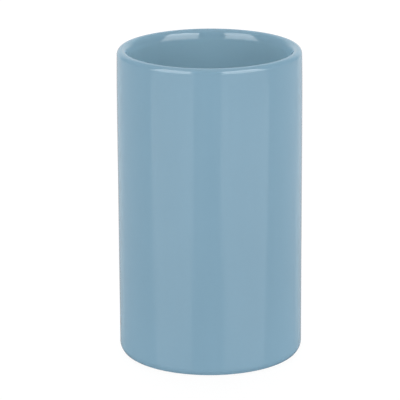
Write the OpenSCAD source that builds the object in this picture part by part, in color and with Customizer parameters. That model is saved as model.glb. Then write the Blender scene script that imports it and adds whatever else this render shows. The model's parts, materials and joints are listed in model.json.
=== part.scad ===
// A straight glazed ceramic tumbler, standing on a bare foot ring, open at the top.
// The base of the foot ring lies on z = 0 and the axis of the tumbler is the Z axis.

/* [Body] */
// Height from the foot to the crest of the lip
height = 120; // [90:1:150]
// Diameter of the glazed outside wall
outer_d = 70.8; // [60:0.2:90]
// Thickness of the glazed wall
wall_t = 4.6; // [4.2:0.1:6]
// Thickness of the glazed floor, from the inside to the recess under it
floor_t = 5; // [3:0.1:8]
// Radius of the cove between the inside wall and the floor
cove_r = 7; // [3:0.5:12]

/* [Lip] */
// How far the wall draws in by the time it reaches the lip
draw_in = 0.2; // [0:0.05:0.6]
// Height over which the wall draws in
draw_in_h = 20; // [10:1:40]
// Width of the lip's outer curve, from the crest to the outside wall
lip_outer_w = 1.9; // [1.4:0.1:2.2]
// Height of the lip's outer curve
lip_outer_h = 2.1; // [1.6:0.1:3.2]
// Height of the lip's inner curve, which is longer and softer than the outer one
lip_inner_h = 4.5; // [3.5:0.1:7]

/* [Foot] */
// Radius of the glazed heel between the wall and the foot
heel_r = 3.6; // [2:0.1:6]
// Width of the flat bare ring that the tumbler stands on
foot_w = 3.4; // [2:0.1:6]
// Radius of the foot ring's inner edge
foot_edge_r = 0.8; // [0.4:0.1:1]
// Depth of the glazed recess inside the foot ring
recess_h = 1.6; // [1.2:0.1:3]

/* [Glaze] */
// Thickness of the fired glaze
glaze_t = 0.3; // [0.15:0.05:0.5]
// Height of the lower edge of the glaze above the table
glaze_line_h = 0.45; // [0.3:0.05:1]

/* [Hidden] */

clay_color = [0.90, 0.87, 0.82];
glaze_color = [0.51, 0.65, 0.73];
turn_steps = 180; // steps of a full turn round the axis
bend_step = 6; // degrees between two stations on a curve of the profile
draw_steps = 8; // stations on the stretch that draws in

outer_r = outer_d / 2;
inner_r = outer_r - wall_t;
floor_z = recess_h + floor_t;
lip_inner_w = wall_t - draw_in - lip_outer_w;
crest_r = outer_r - draw_in - lip_outer_w;
draw_top_z = height - lip_outer_h;
draw_low_z = draw_top_z - draw_in_h;
lip_lean = atan(2 * draw_in / draw_in_h);

// The heel's arcs share a centre. It sits so low that the bare clay arc ends flat on the table.
clay_heel_r = heel_r - glaze_t;
heel_x = outer_r - heel_r;
heel_z = clay_heel_r;
glaze_line_a = asin((heel_z - glaze_line_h) / heel_r);

// The foot's inner edge turns straight into the fillet of the recess.
foot_inner_x = heel_x - foot_w;
recess_x = foot_inner_x - foot_edge_r;
recess_z = recess_h + glaze_t;
recess_r = recess_z - foot_edge_r;

// A station is [x, z, a]: a place on the half profile and the angle of the surface normal there.
// The normal points out of the clay, and its angle counts from +X towards +Z.
function steps(a, b) = max(1, ceil(abs(b - a) / bend_step));

// Stations on a round arc that bulges out of the clay
function convex(x, z, r, a, b) =
    let (n = steps(a, b))
    [for (i = [0:n]) let (t = a + (b - a) * i / n) [x + r * cos(t), z + r * sin(t), t]];

// Stations on a round arc that is hollowed into the clay
function hollow(x, z, r, a, b) =
    [for (s = convex(x, z, r, a, b)) [s[0], s[1], s[2] - 180]];

// Stations on an elliptical arc, w wide and h high, spaced evenly by the angle of its normal
function eased(x, z, w, h, a, b) =
    let (n = steps(a, b))
    [for (i = [0:n])
        let (t = a + (b - a) * i / n, reach = norm([w * cos(t), h * sin(t)]))
        [x + w * w * cos(t) / reach, z + h * h * sin(t) / reach, t]];

// Stations where the wall leaves the vertical and draws in, on a parabola
function drawn() =
    [for (i = [0:draw_steps - 1])
        let (u = i / draw_steps)
        [outer_r - draw_in * u * u, draw_low_z + draw_in_h * u, atan(2 * draw_in * u / draw_in_h)]];

// The glazed surface, from the glaze line up the outside, over the lip and down to the middle of the floor
glazed = concat(
    convex(heel_x, heel_z, heel_r, -glaze_line_a, 0),
    drawn(),
    eased(crest_r, draw_top_z, lip_outer_w, lip_outer_h, lip_lean, 90),
    [for (s = eased(crest_r, height - lip_inner_h, lip_inner_w, lip_inner_h, 90, 180)) if (s[2] > 90) s],
    hollow(inner_r - cove_r, floor_z + cove_r, cove_r, 360, 270),
    [[0, floor_z, 90]]
);

// The clay under the recess glaze, from the foot's inner edge to the middle
recess = concat(
    hollow(recess_x - recess_r, foot_edge_r, recess_r, 0, 90),
    [[0, recess_z, -90]]
);

// Points of stations, moved along their normals by a distance: inwards where it is negative
function points(stations, d) = [for (s = stations) [s[0] + d * cos(s[2]), s[1] + d * sin(s[2])]];

function backwards(list) = [for (i = [len(list) - 1:-1:0]) list[i]];

// A list without its last point, which the next stretch of an outline starts with
function open_end(list) = [for (i = [0:len(list) - 2]) list[i]];

// Fired clay with its foot bare
module stoneware_body() {
    bare_heel = points(convex(heel_x, heel_z, clay_heel_r, -90, -glaze_line_a), 0);
    under_floor = backwards(points(recess, 0));
    foot_edge = points(convex(foot_inner_x, foot_edge_r, foot_edge_r, -180, -90), 0);
    color(clay_color)
        rotate_extrude($fn = turn_steps)
            polygon(concat(open_end(bare_heel), points(glazed, -glaze_t), open_end(under_floor), foot_edge));
}

// Main glaze, in one piece from the glaze line over the lip to the inside floor
module glaze_coat() {
    color(glaze_color)
        rotate_extrude($fn = turn_steps)
            polygon(concat(points(glazed, 0), backwards(points(glazed, -glaze_t))));
}

// Glaze inside the foot ring
module underside_glaze() {
    color(glaze_color)
        rotate_extrude($fn = turn_steps)
            polygon(concat(points(recess, 0), backwards(points(recess, glaze_t))));
}

stoneware_body();
glaze_coat();
underside_glaze();
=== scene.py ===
# A straight glazed ceramic tumbler on a pale table, in soft studio light.
import json
import math

import bmesh
import bpy
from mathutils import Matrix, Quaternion, Vector, noise

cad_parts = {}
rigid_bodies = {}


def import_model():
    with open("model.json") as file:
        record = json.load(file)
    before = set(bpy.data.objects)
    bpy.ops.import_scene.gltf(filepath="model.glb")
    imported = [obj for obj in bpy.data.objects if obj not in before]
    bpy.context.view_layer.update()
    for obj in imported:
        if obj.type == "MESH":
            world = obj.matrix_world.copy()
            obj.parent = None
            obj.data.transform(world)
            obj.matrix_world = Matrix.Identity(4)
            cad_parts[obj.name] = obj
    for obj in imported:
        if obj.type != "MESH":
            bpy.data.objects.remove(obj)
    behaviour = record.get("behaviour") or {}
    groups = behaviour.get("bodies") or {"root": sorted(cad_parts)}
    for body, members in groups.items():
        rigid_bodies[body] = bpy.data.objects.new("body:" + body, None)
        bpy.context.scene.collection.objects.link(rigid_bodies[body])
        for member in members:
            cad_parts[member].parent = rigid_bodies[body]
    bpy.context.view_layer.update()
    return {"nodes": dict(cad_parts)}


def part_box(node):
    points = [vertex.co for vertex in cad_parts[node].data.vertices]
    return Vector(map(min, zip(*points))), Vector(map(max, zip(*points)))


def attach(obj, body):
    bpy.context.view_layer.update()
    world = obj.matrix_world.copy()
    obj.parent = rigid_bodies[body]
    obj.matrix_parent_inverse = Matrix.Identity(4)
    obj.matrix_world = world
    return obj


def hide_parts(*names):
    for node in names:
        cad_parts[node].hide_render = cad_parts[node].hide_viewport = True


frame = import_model()
print("frame loaded:", ", ".join(sorted(frame["nodes"])))

mm = 0.001  # lengths below are in millimetres, and Blender's are in metres
white = (1, 1, 1, 1)


# Shader maths

class Wire:
    # A node's output that can stand in a sum, so that 1 - mask adds its Math node.
    def __init__(self, tree, socket=None):
        self.tree = tree
        self.socket = socket

    def node(self, kind, settings=None, values=None, out=0):
        made = self.tree.nodes.new(kind)
        for name, value in (settings or {}).items():
            setattr(made, name, value)
        for name, value in (values or {}).items():
            if isinstance(value, Wire):
                self.tree.links.new(value.socket, made.inputs[name])
            else:
                made.inputs[name].default_value = value
        return Wire(self.tree, made.outputs[out] if len(made.outputs) else None)

    def maths(self, operation, first, second):
        return self.node("ShaderNodeMath", {"operation": operation}, {0: first, 1: second})

    def __add__(self, other):
        return self.maths("ADD", self, other)

    def __radd__(self, other):
        return self.maths("ADD", other, self)

    def __sub__(self, other):
        return self.maths("SUBTRACT", self, other)

    def __rsub__(self, other):
        return self.maths("SUBTRACT", other, self)

    def __mul__(self, other):
        return self.maths("MULTIPLY", self, other)

    def __rmul__(self, other):
        return self.maths("MULTIPLY", other, self)

    def between(self, low, high):
        # 0 below low, 1 above high and an eased step from one to the other
        return self.node("ShaderNodeMapRange", {"interpolation_type": "SMOOTHSTEP"},
                         {"Value": self, "From Min": low, "From Max": high})

    def paint(self, rgb):
        made = self.node("ShaderNodeRGB")
        made.socket.default_value = (*rgb, 1)
        return made

    def mixed(self, rgb, share):
        # this colour turning into another by a share of 0 to 1
        return self.node("ShaderNodeMix", {"data_type": "RGBA"}, {0: share, 6: self, 7: (*rgb, 1)}, out=2)

    def scaled(self, factor):
        return self.node("ShaderNodeVectorMath", {"operation": "SCALE"}, {0: self, "Scale": factor})

    def place(self):
        return self.node("ShaderNodeTexCoord", out="Object")

    def along(self, axis):
        return self.node("ShaderNodeSeparateXYZ", None, {"Vector": self}, out=axis)

    def length(self):
        return self.node("ShaderNodeVectorMath", {"operation": "LENGTH"}, {0: self}, out="Value")

    def grain(self, size, detail=2.0):
        # cloudy noise from 0 to 1 whose lumps are about this many millimetres across
        return self.node("ShaderNodeTexNoise", None,
                         {"Vector": self.place(), "Scale": 1 / (size * mm), "Detail": detail})

    def glow(self, strength):
        return self.node("ShaderNodeEmission", None, {"Color": white, "Strength": strength})

    def surface(self, shader):
        self.node("ShaderNodeOutputMaterial", None, {"Surface": shader})


def finishSheet(name):
    material = bpy.data.materials.new(name)
    material.use_nodes = True
    material.node_tree.nodes.clear()
    return material, Wire(material.node_tree)


def clamped(value):
    return max(0.0, min(1.0, value))


# Outline of the tumbler, which the pieces share

coatLow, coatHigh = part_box("glaze_coat")
recessLow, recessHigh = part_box("underside_glaze")

form = {
    "outerRadius": coatHigh.x / mm,
    "height": coatHigh.z / mm,
    "glazeLine": coatLow.z / mm,  # lower edge of the main glaze above the table
    "recessRadius": recessHigh.x / mm,
    "recessTop": recessHigh.z / mm,  # clay over the recess
    "footEdge": recessLow.z / mm,  # radius of the foot ring's inner edge
    "wall": 4.6,
    "floor": 5.0,
    "cove": 7.0,
    "drawIn": 0.2,
    "drawInHeight": 20.0,
    "lipOuter": (1.9, 2.1),  # width and height of the lip's outer curve
    "lipInnerHeight": 4.5,
    "heel": 3.6,
    "glaze": 0.3,
    "turnSteps": 192,
    "wallRow": 3.4,  # spacing of the rows of faces on the straight walls
    "bend": 3.5,  # degrees between rows on a curve
    "edgeBend": 18.0,  # and on the rounded rise of a wiped edge
    "beadRows": 5,  # rows along the bead above that edge
}
innerRadius = form["outerRadius"] - form["wall"]
insideFloor = form["recessTop"] - form["glaze"] + form["floor"]
lipInnerWidth = form["wall"] - form["drawIn"] - form["lipOuter"][0]
crestRadius = form["outerRadius"] - form["drawIn"] - form["lipOuter"][0]
drawTop = form["height"] - form["lipOuter"][1]
clayHeel = form["heel"] - form["glaze"]
heelRadius = form["outerRadius"] - form["heel"]
lineAngle = -math.degrees(math.asin((clayHeel - form["glazeLine"]) / form["heel"]))
recessFillet = form["recessTop"] - form["footEdge"]


def spread(start, end, step):
    # values from start to end, evenly and no further apart than a step
    count = max(1, math.ceil(abs(end - start) / step))
    return [start + (end - start) * i / count for i in range(count + 1)]


# A station is a place on the half profile with its outward normal's angle in degrees: (x, z, angle).

def moved(station, distance):
    # the place at a distance along a station's normal
    x, z, a = station
    return x + distance * math.cos(math.radians(a)), z + distance * math.sin(math.radians(a))


def bulge(x, z, radius, start, end):
    return [(*moved((x, z, a), radius), a) for a in spread(start, end, form["bend"])]


def hollow(x, z, radius, start, end):
    return [(px, pz, a - 180) for px, pz, a in bulge(x, z, radius, start, end)]


def eased(x, z, width, height, start, end):
    # an elliptical curve, with its rows spaced by the angle of the normal
    rows = []
    for a in spread(start, end, form["bend"]):
        c, s = math.cos(math.radians(a)), math.sin(math.radians(a))
        reach = math.hypot(width * c, height * s)
        rows.append((x + width * width * c / reach, z + height * height * s / reach, a))
    return rows


def glazedWalls():
    # up the outside from the heel, over the lip, down the inside and in to the middle of the floor
    rise = form["drawInHeight"]
    lean = math.degrees(math.atan(2 * form["drawIn"] / rise))
    outside = [(form["outerRadius"], z, 0) for z in spread(clayHeel, drawTop - rise, form["wallRow"])]
    drawn = []
    for u in spread(0, 1, form["wallRow"] / rise):
        drawn.append((form["outerRadius"] - form["drawIn"] * u * u, drawTop - rise + rise * u,
                      math.degrees(math.atan(2 * form["drawIn"] * u / rise))))
    lipOut = eased(crestRadius, drawTop, *form["lipOuter"], lean, 90)
    lipBase = form["height"] - form["lipInnerHeight"]
    lipIn = eased(crestRadius, lipBase, lipInnerWidth, form["lipInnerHeight"], 90, 180)
    coveTop = insideFloor + form["cove"]
    inside = [(innerRadius, z, 180) for z in spread(lipBase, coveTop, form["wallRow"])]
    cove = hollow(innerRadius - form["cove"], coveTop, form["cove"], 360, 270)
    floor = [(x, insideFloor, 90) for x in spread(innerRadius - form["cove"], 0, form["wallRow"])]
    stretches = [outside, drawn, lipOut, lipIn, inside, cove, floor]
    return outside[:1] + [row for stretch in stretches for row in stretch[1:]]


# Turned meshes

def turned(name, outlineAt):
    # Turns a closed outline round the axis. outlineAt gives the (x, z, depth) of its rows at an angle,
    # as many at every angle. A row on the axis becomes one point.
    steps = form["turnSteps"]
    mesh = bpy.data.meshes.new(name)
    bm = bmesh.new()
    depthLayer = bm.verts.layers.float.new("glazeDepthAndPaintedLight")
    rings = []
    columns = [outlineAt(2 * math.pi * step / steps) for step in range(steps)]
    for row in range(len(columns[0])):
        onAxis = columns[0][row][0] < 1e-6
        ring = []
        for step, column in enumerate(columns[:1] if onAxis else columns):
            x, z, depth = column[row]
            turn = 2 * math.pi * step / steps
            vert = bm.verts.new((x * math.cos(turn) * mm, x * math.sin(turn) * mm, z * mm))
            vert[depthLayer] = depth
            ring.append(vert)
        rings.append(ring)
    for lower, upper in zip(rings, rings[1:] + rings[:1]):
        if len(lower) == 1 and len(upper) == 1:
            continue  # along the axis there is nothing to span
        for step in range(steps):
            after = (step + 1) % steps
            corners = [lower[step % len(lower)], lower[after % len(lower)],
                       upper[after % len(upper)], upper[step % len(upper)]]
            bm.faces.new(list(dict.fromkeys(corners)))
    bmesh.ops.recalc_face_normals(bm, faces=bm.faces)
    for face in bm.faces:
        face.smooth = True
    bm.to_mesh(mesh)
    bm.free()
    piece = bpy.data.objects.new(name, mesh)
    bpy.context.scene.collection.objects.link(piece)
    return piece


def ripple(angle, waves):
    # a wavering line round the tumbler, from -1 to 1, that closes on itself
    return sum(size * math.sin(count * angle + start) for count, size, start in waves)


def swell(x, z, angle, size):
    # slow unevenness of a surface, from 0 to 1
    place = Vector((x * math.cos(angle), x * math.sin(angle), z)) / size
    return 0.5 + 0.5 * max(-1.0, min(1.0, noise.noise(place)))


# Main glaze

coat = {
    "lineWaves": [(3, 0.5, 0.4), (5, 0.3, 2.1), (8, 0.2, 4.4)],  # count, size and start of the edge's waves
    "lineWaver": 2.2,  # degrees on the heel's curve
    "edgeRise": 0.32,  # length over which the wiped edge rounds up to its full thickness
    "beadShare": 0.14,  # how much thicker the glaze stands just above its edge
    "beadLength": 1.1,
    "unevenShare": 0.16,  # how much thinner it gets in places
    "unevenSize": 26.0,
    "evenWithin": 12.0,  # nearer to the axis that dies away, because all angles meet there
    "closeRows": 8,  # rows of its back that match its front, and above them every other one does
    "thinCrest": 0.12,  # how much less deep it looks along the crest of the lip
    "crestReach": 2.2,
    "thinGlazeAndPaintedLightLip": 0.25,  # on the lip's inner curve, partly thinner glaze and partly painted light that lifts the shaded inside
    "thinGlazeAndPaintedLightInside": 0.4,  # and further in, where it was poured out, with more of that painted light
    "thinFrom": 2.2,  # depth under the crest from which it goes from one to the other
    "pooledCove": 0.3,  # how much deeper it looks in the cove
    "pooledFrom": (16.0, 26.0),  # distances from the axis between which that sets in
}


def edgeThickness(distance, piece):
    # share of the full thickness at a distance from a wiped edge, with its rounded rise and low bead
    rise = min(1.0, distance / piece["edgeRise"])
    along = min(1.0, distance / piece["beadLength"])
    bead = piece["beadShare"] * math.sin(math.pi * along) ** 2
    return math.sqrt(1 - (1 - rise) ** 2) * (1 + bead)


def spacedFromEdge(total, piece):
    # distances from a wiped edge, close together on its rounded rise
    near = [piece["edgeRise"] * (1 - math.cos(math.radians(a))) for a in spread(0, 90, form["edgeBend"])]
    return near + spread(near[-1], total, piece["beadLength"] / form["beadRows"])[1:]


def unevenly(share, x, z, angle, piece):
    fade = min(1.0, x / piece["evenWithin"])
    return share * (1 - piece["unevenShare"] * fade * swell(x, z, angle, piece["unevenSize"]))


def coatStations(angle):
    start = lineAngle + coat["lineWaver"] * ripple(angle, coat["lineWaves"])
    perDegree = math.radians(1) * clayHeel
    rows = []
    total = -lineAngle * perDegree
    for distance in spacedFromEdge(total, coat):
        a = start * (1 - distance / total)
        x, z = moved((heelRadius, clayHeel, a), form["heel"])
        rows.append((x, z, a, edgeThickness(distance, coat)))
    for x, z, a in walls[1:]:
        rows.append((x, z, a, 1.0))
    return rows


def coatDepthAndPaintedLight(x, z, share):
    # how deep the glaze looks: thinner over the lip and inside, pooled in the cove. Over the lip's inner
    # curve and inside, that thinning is partly real and partly painted light on the shaded inside
    crest = clamped(1 - abs(x - crestRadius) / coat["crestReach"]) * (z > drawTop)
    inside = clamped((crestRadius - x) / lipInnerWidth)
    under = form["height"] - z - coat["thinFrom"]
    low = clamped(under / (form["lipInnerHeight"] - coat["thinFrom"]))
    # paler inside: partly thinner glaze, partly painted light that lifts the shaded inside
    thin = coat["thinGlazeAndPaintedLightLip"] + (coat["thinGlazeAndPaintedLightInside"] - coat["thinGlazeAndPaintedLightLip"]) * low
    near, far = coat["pooledFrom"]
    cove = clamped(1 - abs(z - insideFloor) / form["cove"]) * clamped((x - near) / (far - near))
    pooled = coat["pooledCove"] * cove * (inside > 0.5)
    return share - coat["thinCrest"] * crest - thin * inside + pooled


def coatOutline(angle):
    rows = coatStations(angle)
    outer = []
    for x, z, a, share in rows:
        px, pz = moved((x, z, a), (unevenly(share, x, z, angle, coat) - 1) * form["glaze"])
        outer.append((max(0.0, px), pz, coatDepthAndPaintedLight(x, z, share)))
    inner = [(*moved((x, z, a), -form["glaze"]), 1.0) for x, z, a, share in rows[1:]]
    close = coat["closeRows"]
    sparse = inner[:close] + inner[close:-1:2] + inner[-1:]
    return outer + sparse[::-1]


walls = glazedWalls()
glazeCoat = turned("glaze_coat_fired", coatOutline)
print("main glaze:", len(glazeCoat.data.polygons), "faces")


# Fired body, which shows at the foot ring

foot = {
    "sandedWaves": [(2, 0.5, 1.0), (7, 0.3, 0.2), (11, 0.2, 3.0)],
    "sandedWaver": 0.06,  # how far the rubbed-down ring's outer edge wavers
    "sandedHeight": 1.0,  # height above the table at which that has died away
    "flatRow": 0.85,  # spacing of the rows on the ring
    "ceilingRow": 13.6,  # and over the recess, where glaze hides them
}
footInner = form["recessRadius"] + form["footEdge"]


def bodyOutline(angle):
    waver = foot["sandedWaver"] * ripple(angle, foot["sandedWaves"])
    heelRows = bulge(heelRadius, clayHeel, clayHeel, -90, 0)
    heel = [(x + waver * max(0.0, 1 - z / foot["sandedHeight"]), z, 1.0) for x, z, a in heelRows]
    skin = [(*moved(row, -form["glaze"]), 1.0) for row in walls[1:-1:2] + walls[-1:]]
    ceiling = hollow(form["recessRadius"] - recessFillet, form["footEdge"], recessFillet, 0, 90)
    under = [(x, form["recessTop"], 1.0) for x in spread(0, ceiling[-1][0], foot["ceilingRow"])]
    edge = bulge(footInner, form["footEdge"], form["footEdge"], -180, -90)
    rounded = [(x, z, 1.0) for x, z, a in ceiling[::-1][1:] + edge[1:]]
    flat = [(x, 0.0, 1.0) for x in spread(footInner, heelRadius, foot["flatRow"])[1:-1]]
    return heel + skin + under + rounded + flat


firedBody = turned("stoneware_body_fired", bodyOutline)
print("fired body:", len(firedBody.data.polygons), "faces")


# Glaze in the recess under the floor

recess = {
    "lineWaves": [(2, 0.5, 2.6), (5, 0.3, 0.3), (9, 0.2, 1.2)],
    "lineWaver": 6.0,  # degrees on the fillet's curve
    "lineStart": 8.0,  # where on that curve the wiped edge lies
    "edgeRise": 0.28,
    "beadShare": 0.12,
    "beadLength": 0.8,
    "unevenShare": 0.3,
    "unevenSize": 14.0,
    "evenWithin": 10.0,
    "row": 2.38,  # spacing of its rows on the flat
    "pooledFillet": 0.35,  # how much deeper it looks in the fillet
    "pooledPower": 8,  # and how soon that dies away on the flat
}


def recessOutline(angle):
    start = recess["lineStart"] + recess["lineWaver"] * ripple(angle, recess["lineWaves"])
    total = math.radians(90 - recess["lineStart"]) * recessFillet
    centre = form["recessRadius"] - recessFillet
    rows = []
    for distance in spacedFromEdge(total, recess):
        a = start + (90 - start) * distance / total
        x, z = moved((centre, form["footEdge"], a), recessFillet)
        pooled = 1 + recess["pooledFillet"] * math.sin(math.radians(a))
        rows.append((x, z, a - 180, edgeThickness(distance, recess), pooled))
    for x in spread(centre, 0, recess["row"])[1:]:
        pooled = 1 + recess["pooledFillet"] * (x / centre) ** recess["pooledPower"]
        rows.append((x, form["recessTop"], -90, 1.0, pooled))
    shown = []
    for x, z, a, share, pooled in rows:
        px, pz = moved((x, z, a), unevenly(share, x, z, angle, recess) * form["glaze"])
        shown.append((max(0.0, px), pz, min(share, 1.0) * pooled))
    against = [(x, z, 1.0) for x, z, a, share, pooled in rows[1:]]
    return shown + against[::-1]


recessGlaze = turned("underside_glaze_fired", recessOutline)
print("recess glaze:", len(recessGlaze.data.polygons), "faces")


# Finishes

refraction = 1.5  # of glaze, clay and the polished table alike


def firedSurface(sheet, base, roughness, height, bump=1.0):
    # a surface whose relief is a height in millimetres
    normal = sheet.node("ShaderNodeBump", None, {"Strength": bump, "Distance": mm, "Height": height})
    sheet.surface(sheet.node("ShaderNodeBsdfPrincipled", None, {
        "Base Color": base, "Roughness": roughness, "IOR": refraction, "Normal": normal}))


# Depths of the glaze are against its full thickness, which is 1.
blueGlaze = {
    "colour": (0.2005, 0.336, 0.434),
    "thin": (0.3675, 0.556, 0.637),  # where the pale clay shows through; inside the tumbler this paleness is partly painted light
    "thinDepth": 0.1,
    "pooled": (0.150, 0.305, 0.415),
    "pooledDepth": 1.5,
    "cloudSize": 30.0,
    "cloudShare": 0.035,
    "mottleSize": 1.3,
    "mottleShare": 0.02,
    "roughness": 0.035,
    "roughnessSpread": 0.03,
    "hazeSize": 9.0,
    "peelSize": 3.2,
    "peelHeight": 0.004,
    "pinholeSize": 2.6,  # spacing of the pinholes
    "pinholeEdge": 0.06,  # their radius, by that spacing
    "pinholeDepth": 0.012,
    "patchSize": 3.0,  # size of the patches that they come in, by that spacing
    "patchEdge": (0.66, 0.7),  # levels of noise at which a patch starts
}


def glazeFinish(name, glaze):
    material, sheet = finishSheet(name)
    depth = sheet.node("ShaderNodeAttribute", {"attribute_name": "glazeDepthAndPaintedLight"}, out="Fac")
    cloud = sheet.grain(glaze["cloudSize"]) - 0.5
    mottle = sheet.grain(glaze["mottleSize"], detail=4.0) - 0.5
    # the thin colour is the glaze's own at thin places, and inside the tumbler partly painted light
    full = sheet.paint(glaze["thin"]).mixed(glaze["colour"], depth.between(glaze["thinDepth"], 1.0))
    pooled = full.mixed(glaze["pooled"], depth.between(1.0, glaze["pooledDepth"]))
    shade = 1 + glaze["cloudShare"] * cloud + glaze["mottleShare"] * mottle
    roughness = glaze["roughness"] + glaze["roughnessSpread"] * sheet.grain(glaze["hazeSize"])
    peel = sheet.grain(glaze["peelSize"], detail=1.0)
    cells = sheet.node("ShaderNodeTexVoronoi", None, {
        "Vector": sheet.place(), "Scale": 1 / (glaze["pinholeSize"] * mm)}, out="Distance")
    patch = sheet.grain(glaze["pinholeSize"] * glaze["patchSize"], detail=0.0).between(*glaze["patchEdge"])
    pinhole = (1 - cells.between(0.0, glaze["pinholeEdge"])) * patch
    height = peel * glaze["peelHeight"] - pinhole * glaze["pinholeDepth"]
    firedSurface(sheet, pooled.scaled(shade), roughness, height)
    return material


bareClay = {
    "colour": (0.72, 0.68, 0.60),
    "speck": (0.42, 0.36, 0.29),
    "speckSize": 0.85,
    "speckEdge": (0.7, 0.76),  # levels of noise at which a speck starts
    "speckShare": 0.55,
    "grainSize": 0.5,
    "grainShare": 0.14,
    "wipeSize": 0.7,  # width of the marks that the sponge leaves round the ring
    "wipeSlant": 0.3,  # how far they climb across a slope
    "wipeShare": 0.1,
    "wipeHeight": 0.5,  # by the grain's
    "roughness": 0.82,
    "roughnessSpread": 0.12,
    "grainHeight": 0.03,
    "bump": 0.7,
}


def clayFinish(name, clay):
    material, sheet = finishSheet(name)
    place = sheet.place()
    flat = sheet.node("ShaderNodeVectorMath", {"operation": "MULTIPLY"}, {0: place, 1: (1, 1, 0)})
    line = flat.length() + clay["wipeSlant"] * place.along("Z")
    wipe = sheet.node("ShaderNodeTexNoise", {"noise_dimensions": "1D"},
                      {"W": line, "Scale": 1 / (clay["wipeSize"] * mm), "Detail": 3.0})
    grain = sheet.grain(clay["grainSize"], detail=5.0)
    speck = sheet.grain(clay["speckSize"], detail=1.0).between(*clay["speckEdge"])
    speckled = sheet.paint(clay["colour"]).mixed(clay["speck"], speck * clay["speckShare"])
    shade = 1 + clay["grainShare"] * (grain - 0.5) + clay["wipeShare"] * (wipe - 0.5)
    roughness = clay["roughness"] + clay["roughnessSpread"] * grain
    height = (grain + clay["wipeHeight"] * wipe) * clay["grainHeight"]
    firedSurface(sheet, speckled.scaled(shade), roughness, height, clay["bump"])
    return material


glazeCoat.data.materials.append(glazeFinish("blue glaze", blueGlaze))
recessGlaze.data.materials.append(glazeFinish("recess glaze", blueGlaze))
firedBody.data.materials.append(clayFinish("bare stoneware", bareClay))
for piece, node, slot in ((glazeCoat, "glaze_coat", "blue_glaze"),
                          (recessGlaze, "underside_glaze", "blue_glaze"),
                          (firedBody, "stoneware_body", "bare_stoneware")):
    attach(piece, "root")
    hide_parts(node)
print("finishes done")


# Table, surroundings and lamps

# Levels are against white, which is 1: as the camera sees it, in the glaze's mirror image, or as light
# on matt surfaces.
table = {
    "size": 6000.0,
    "gap": 0.02,  # keeps the table's face off the foot ring's
    "seen": {"glow": 0.92, "tone": 0.08},
    "mirrored": {"glow": 0.395, "tone": 0.2},
    "felt": {"glow": 0.33, "tone": 0.71},  # by matt surfaces, the glow only near the foot
    "footGlow": (52.0, 72.0),  # distances from the axis between which that glow dies away
    "glowBehind": (-0.3, 0.8),  # cosines of the turn between which the mirrored glow rises to the back
    "glowFront": 0.16,  # its share in front
    "glowAway": (60.0, 260.0),  # distances from the axis between which it rises as well
    "glowNear": 0.65,  # its share close by, a painted shadow of the tumbler on the mirrored table near its foot
    "paintedShadow": 0.4,  # painted shadow: how much darker the table is mirrored straight behind the tumbler, where its cast shadow falls
    "paintedShadowSpread": 0.75,  # and how fast that fades to the sides, per length behind
    "gloss": 0.08,
    "polish": 0.85,
}


def seenBy(sheet, *rays):
    path = [sheet.node("ShaderNodeLightPath", out=f"Is {ray} Ray") for ray in rays]
    total = path[0]
    for ray in path[1:]:
        total = total + ray
    return total


def flatPanel(name, width, height, material):
    mesh = bpy.data.meshes.new(name)
    mesh.from_pydata([(-width / 2, -height / 2, 0), (width / 2, -height / 2, 0),
                      (width / 2, height / 2, 0), (-width / 2, height / 2, 0)], [], [(0, 1, 2, 3)])
    mesh.materials.append(material)
    panel = bpy.data.objects.new(name, mesh)
    bpy.context.scene.collection.objects.link(panel)
    return panel


def makeTable():
    # part glow and part matt tone, which takes the tumbler's shadow, at levels by the kind of ray. Its
    # mirrored glow and tone carry a painted shadow behind the tumbler, and its mirrored glow one near the
    # foot
    material, sheet = finishSheet("pale table")
    camera = seenBy(sheet, "Camera", "Transmission")
    glossy = seenBy(sheet, "Glossy")

    def level(name, felt, mirrored):
        return felt + (table["seen"][name] - felt) * camera + (mirrored - felt) * glossy

    spot = sheet.place()
    radius = spot.length()
    behind = spot.along("Y")
    aside = sheet.maths("ABSOLUTE", spot.along("X"), 0) - form["outerRadius"] * mm
    slant = sheet.maths("DIVIDE", aside, sheet.maths("MAXIMUM", behind, mm))
    # painted shadow of the tumbler, darkening the mirrored table straight behind it
    paintedShadow = 1 - table["paintedShadow"] * (1 - slant.between(0.0, table["paintedShadowSpread"]))
    near, far = table["footGlow"]
    footGlow = table["felt"]["glow"] * (1 - radius.between(near * mm, far * mm))
    near, far = table["glowAway"]
    turn = sheet.maths("DIVIDE", behind, radius).between(*table["glowBehind"])
    behindShare = table["glowFront"] + (1 - table["glowFront"]) * turn
    # painted shadow: the mirrored glow is dimmer close to the tumbler
    awayShare = table["glowNear"] + (1 - table["glowNear"]) * radius.between(near * mm, far * mm)
    mirroredGlow = table["mirrored"]["glow"] * behindShare * awayShare * paintedShadow
    tone = level("tone", table["felt"]["tone"], table["mirrored"]["tone"] * paintedShadow)
    matt = sheet.node("ShaderNodeBsdfDiffuse", None, {"Color": tone})
    glow = sheet.glow(level("glow", footGlow, mirroredGlow))
    face = sheet.node("ShaderNodeAddShader", None, {0: glow, 1: matt})
    polish = sheet.node("ShaderNodeBsdfGlossy", None, {"Color": white, "Roughness": table["gloss"]})
    shine = table["polish"] * sheet.node("ShaderNodeFresnel", None, {"IOR": refraction}) * glossy
    polished = sheet.node("ShaderNodeMixShader", None, {0: shine, 1: face, 2: polish})
    clear = sheet.node("ShaderNodeBsdfTransparent")
    below = sheet.node("ShaderNodeNewGeometry", out="Backfacing")
    sheet.surface(sheet.node("ShaderNodeMixShader", None, {0: below, 1: polished, 2: clear}))
    top = flatPanel("table", table["size"] * mm, table["size"] * mm, material)
    top.location = (0, 0, -table["gap"] * mm)


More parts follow.
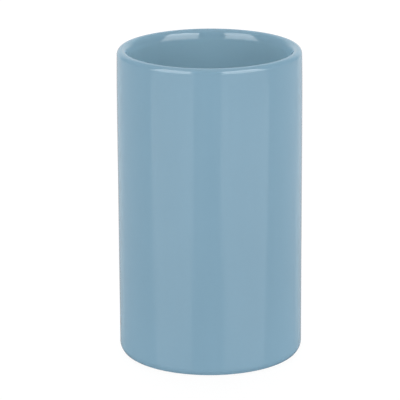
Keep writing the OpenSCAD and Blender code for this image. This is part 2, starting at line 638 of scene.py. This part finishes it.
surroundings = {
    "seen": 1.0,
    "mirrored": 0.1,
    "overhead": 0.5,  # what is added to that straight above
    "overheadEdge": (0.75, 0.9),  # sines of the elevations between which it sets in
    "fill": 0.35,  # as light on matt surfaces
}


def makeSurroundings():
    world = bpy.data.worlds.new("studio")
    world.use_nodes = True
    world.node_tree.nodes.clear()
    sheet = Wire(world.node_tree)
    fill = surroundings["fill"]
    way = sheet.node("ShaderNodeTexCoord", out="Generated")
    above = way.along("Z").between(*surroundings["overheadEdge"])
    mirrored = surroundings["mirrored"] + surroundings["overhead"] * above
    strength = (fill + (surroundings["seen"] - fill) * seenBy(sheet, "Camera", "Transmission")
                + (mirrored - fill) * seenBy(sheet, "Glossy"))
    light = sheet.node("ShaderNodeBackground", None, {"Color": white, "Strength": strength})
    sheet.node("ShaderNodeOutputWorld", None, {"Surface": light})
    bpy.context.scene.world = world


def outward(place):
    # the way from the tumbler to a lamp, with azimuths counted from the camera's side, to the right
    turn, rise = math.radians(place["azimuth"]), math.radians(place["elevation"])
    return Vector((math.sin(turn) * math.cos(rise), -math.cos(turn) * math.cos(rise), math.sin(rise)))


def aimed(part, place, aimHeight):
    part.location = outward(place) * place["distance"] * mm + Vector((0, 0, aimHeight * mm))
    part.rotation_mode = "QUATERNION"
    part.rotation_quaternion = (-outward(place)).to_track_quat("-Z", "Y")


def makeLamp(name, width, height, lit):
    # lights matt surfaces only: what the glaze mirrors are the panels
    lamp = bpy.data.lights.new(name, "AREA")
    lamp.shape = "RECTANGLE"
    lamp.size = width * mm
    lamp.size_y = height * mm
    lamp.energy = lit * math.pi * lamp.size * lamp.size_y
    box = bpy.data.objects.new(name, lamp)
    box.visible_camera = False
    box.visible_glossy = False
    bpy.context.scene.collection.objects.link(box)
    return box


def mirrorPanel(name, width, height, material):
    # only the glaze and the polished table see it
    panel = flatPanel(name, width * mm, height * mm, material)
    panel.visible_camera = False
    panel.visible_diffuse = False
    panel.visible_shadow = False
    return panel


frontScrim = {"azimuth": 0.0, "elevation": 48.0, "distance": 1100.0, "size": (1000.0, 600.0)}
sideScrim = {"elevation": 5.0, "distance": 900.0, "size": (600.0, 900.0)}
scrims = {
    "front scrim": dict(frontScrim, lit=2.25),
    "left scrim": dict(sideScrim, azimuth=-115.0, lit=2.2),
    "right scrim": dict(sideScrim, azimuth=115.0, lit=2.55),
}
backdrop = {
    "distance": 1200.0,
    "half": 1500.0,  # half its width, of which the outer part fades out
    "fade": 900.0,
    "height": 1830.0,
    "mirrored": 0.75,
    "lit": 3.5,
    "lamp": (3000.0, 1500.0),
    "lampBehind": 100.0,
}
# Each softbox stands upright between two azimuths. Lists go by the height above the table: how far it leans
# to the left, and at what level it is mirrored. Its outer side is its left one (-1) or its right one (1).
softboxes = {
    "left softbox": {
        "from": -76.0,
        "to": -19.8,
        "outer": -1,
        "lean": [(130, -8), (165, 0)],
        "levels": [(60, 1.9), (160, 3.45), (300, 3.65), (600, 4.6)],
    },
    "right softbox": {
        "from": 14.0,
        "to": 76.9,
        "outer": 1,
        "lean": [(150, 0), (195, 22), (225, 22), (265, 14), (340, 30)],
        "levels": [(60, 1.7), (170, 3.45), (450, 3.7), (1000, 6.3)],
    },
}
softbox = {
    "distance": 850.0,
    "bottom": 4.0,
    "topElevation": 48.8,  # seen from the lip
    "lit": 1.0,
    "fadeTo": 30.0,  # its foot fades in up to here
    "narrowing": [(200, 0), (245, 0.07), (285, 0.15)],  # how much narrower both halves are, by the height
    "outerNarrowing": [(55, 0.2), (95, 0), (300, 0), (350, 0.05)],  # and how much more the outer one is
    "edge": 12.0,  # how softly its right side ends
    "leftEdge": [(170, 12), (260, 260), (290, 260), (350, 12)],  # and its left side, by the height
}


def stepped(level, steps):
    # a value that passes through steps of (height, value)
    value = steps[0][1]
    for (low, before), (high, after) in zip(steps, steps[1:]):
        value = value + (after - before) * level.between(low * mm, high * mm)
    return value


def softboxCloth(name, place, width, height):
    # its lit shape, cut out of a panel
    material, sheet = finishSheet(name + " cloth")
    spot = sheet.place()
    level = spot.along("Y") + (height / 2 + softbox["bottom"]) * mm
    across = spot.along("X") + stepped(level, place["lean"]) * mm
    side = width / 2 * mm * (1 - stepped(level, softbox["narrowing"]))
    outer = side - width / 2 * mm * stepped(level, softbox["outerNarrowing"])
    left, right = (outer, side) if place["outer"] < 0 else (side, outer)
    leftReach = stepped(level, softbox["leftEdge"]) * mm
    rightReach = softbox["edge"] * mm
    share = (across + left).between(-0.5 * leftReach, 0.5 * leftReach)
    share = share * (right - across).between(-0.5 * rightReach, 0.5 * rightReach)
    share = share * level.between(softbox["bottom"] * mm, softbox["fadeTo"] * mm)
    sheet.surface(sheet.glow(share * stepped(level, place["levels"])))
    return material


def makeSoftbox(name, place):
    # a lamp, and in its place a panel for the glaze to mirror
    half = math.radians(place["to"] - place["from"]) / 2
    width = 2 * softbox["distance"] * math.tan(half)
    rise = softbox["distance"] * math.tan(math.radians(softbox["topElevation"]))
    height = form["height"] + rise - softbox["bottom"]
    spare = max(reach for level, reach in softbox["leftEdge"])  # its left side fades out past its width
    panel = mirrorPanel(name + " panel", width + spare, height, softboxCloth(name, place, width, height))
    middle = {"azimuth": (place["from"] + place["to"]) / 2, "elevation": 0.0,
              "distance": softbox["distance"]}
    for part in (panel, makeLamp(name, width, height, softbox["lit"])):
        aimed(part, middle, softbox["bottom"] + height / 2)


def makeBackdrop():
    # a wide white backdrop behind the tumbler, which fades out to both sides
    material, sheet = finishSheet("backdrop paper")
    inward = backdrop["half"] * mm - sheet.maths("ABSOLUTE", sheet.place().along("X"), 0)
    sheet.surface(sheet.glow(backdrop["mirrored"] * inward.between(0.0, backdrop["fade"] * mm)))
    straight = {"azimuth": 180.0, "elevation": 0.0, "distance": backdrop["distance"]}
    paper = mirrorPanel("backdrop", 2 * backdrop["half"], backdrop["height"], material)
    aimed(paper, straight, backdrop["height"] / 2)
    lamp = makeLamp("backdrop lamp", *backdrop["lamp"], backdrop["lit"])
    further = dict(straight, distance=backdrop["distance"] + backdrop["lampBehind"])
    aimed(lamp, further, backdrop["lamp"][1] / 2)


makeTable()
makeSurroundings()
makeBackdrop()
for name, place in softboxes.items():
    makeSoftbox(name, place)
for name, place in scrims.items():
    aimed(makeLamp(name, *place["size"], place["lit"]), place, form["height"] / 2)
print("table, surroundings and lamps done")


# Camera

view = {
    "distance": 976.9,
    "aimHeight": 60.0,
    "elevation": 16.577,
    "roll": -0.24,
    "lens": 227.9,
    "sensor": 36.0,
    "frame": 400.0,  # pixels across the square image
    "axisX": 210.04,  # pixel where the camera's own axis lands
    "axisY": 199.62,
    "clip": (0.05, 30.0),  # metres
}


def makeCamera():
    lens = bpy.data.cameras.new("camera")
    lens.lens = view["lens"]
    lens.sensor_width = view["sensor"]
    lens.shift_x = 0.5 - view["axisX"] / view["frame"]
    lens.shift_y = view["axisY"] / view["frame"] - 0.5
    lens.clip_start, lens.clip_end = view["clip"]
    tilt = math.radians(view["elevation"])
    back = Vector((0, -math.cos(tilt), math.sin(tilt)))
    camera = bpy.data.objects.new("camera", lens)
    camera.location = Vector((0, 0, view["aimHeight"] * mm)) + back * view["distance"] * mm
    camera.rotation_mode = "QUATERNION"
    roll = Quaternion((0, 0, 1), math.radians(view["roll"]))
    camera.rotation_quaternion = (-back).to_track_quat("-Z", "Y") @ roll
    bpy.context.scene.collection.objects.link(camera)
    bpy.context.scene.camera = camera


makeCamera()
bpy.context.scene.view_settings.view_transform = "Standard"
print("camera done")
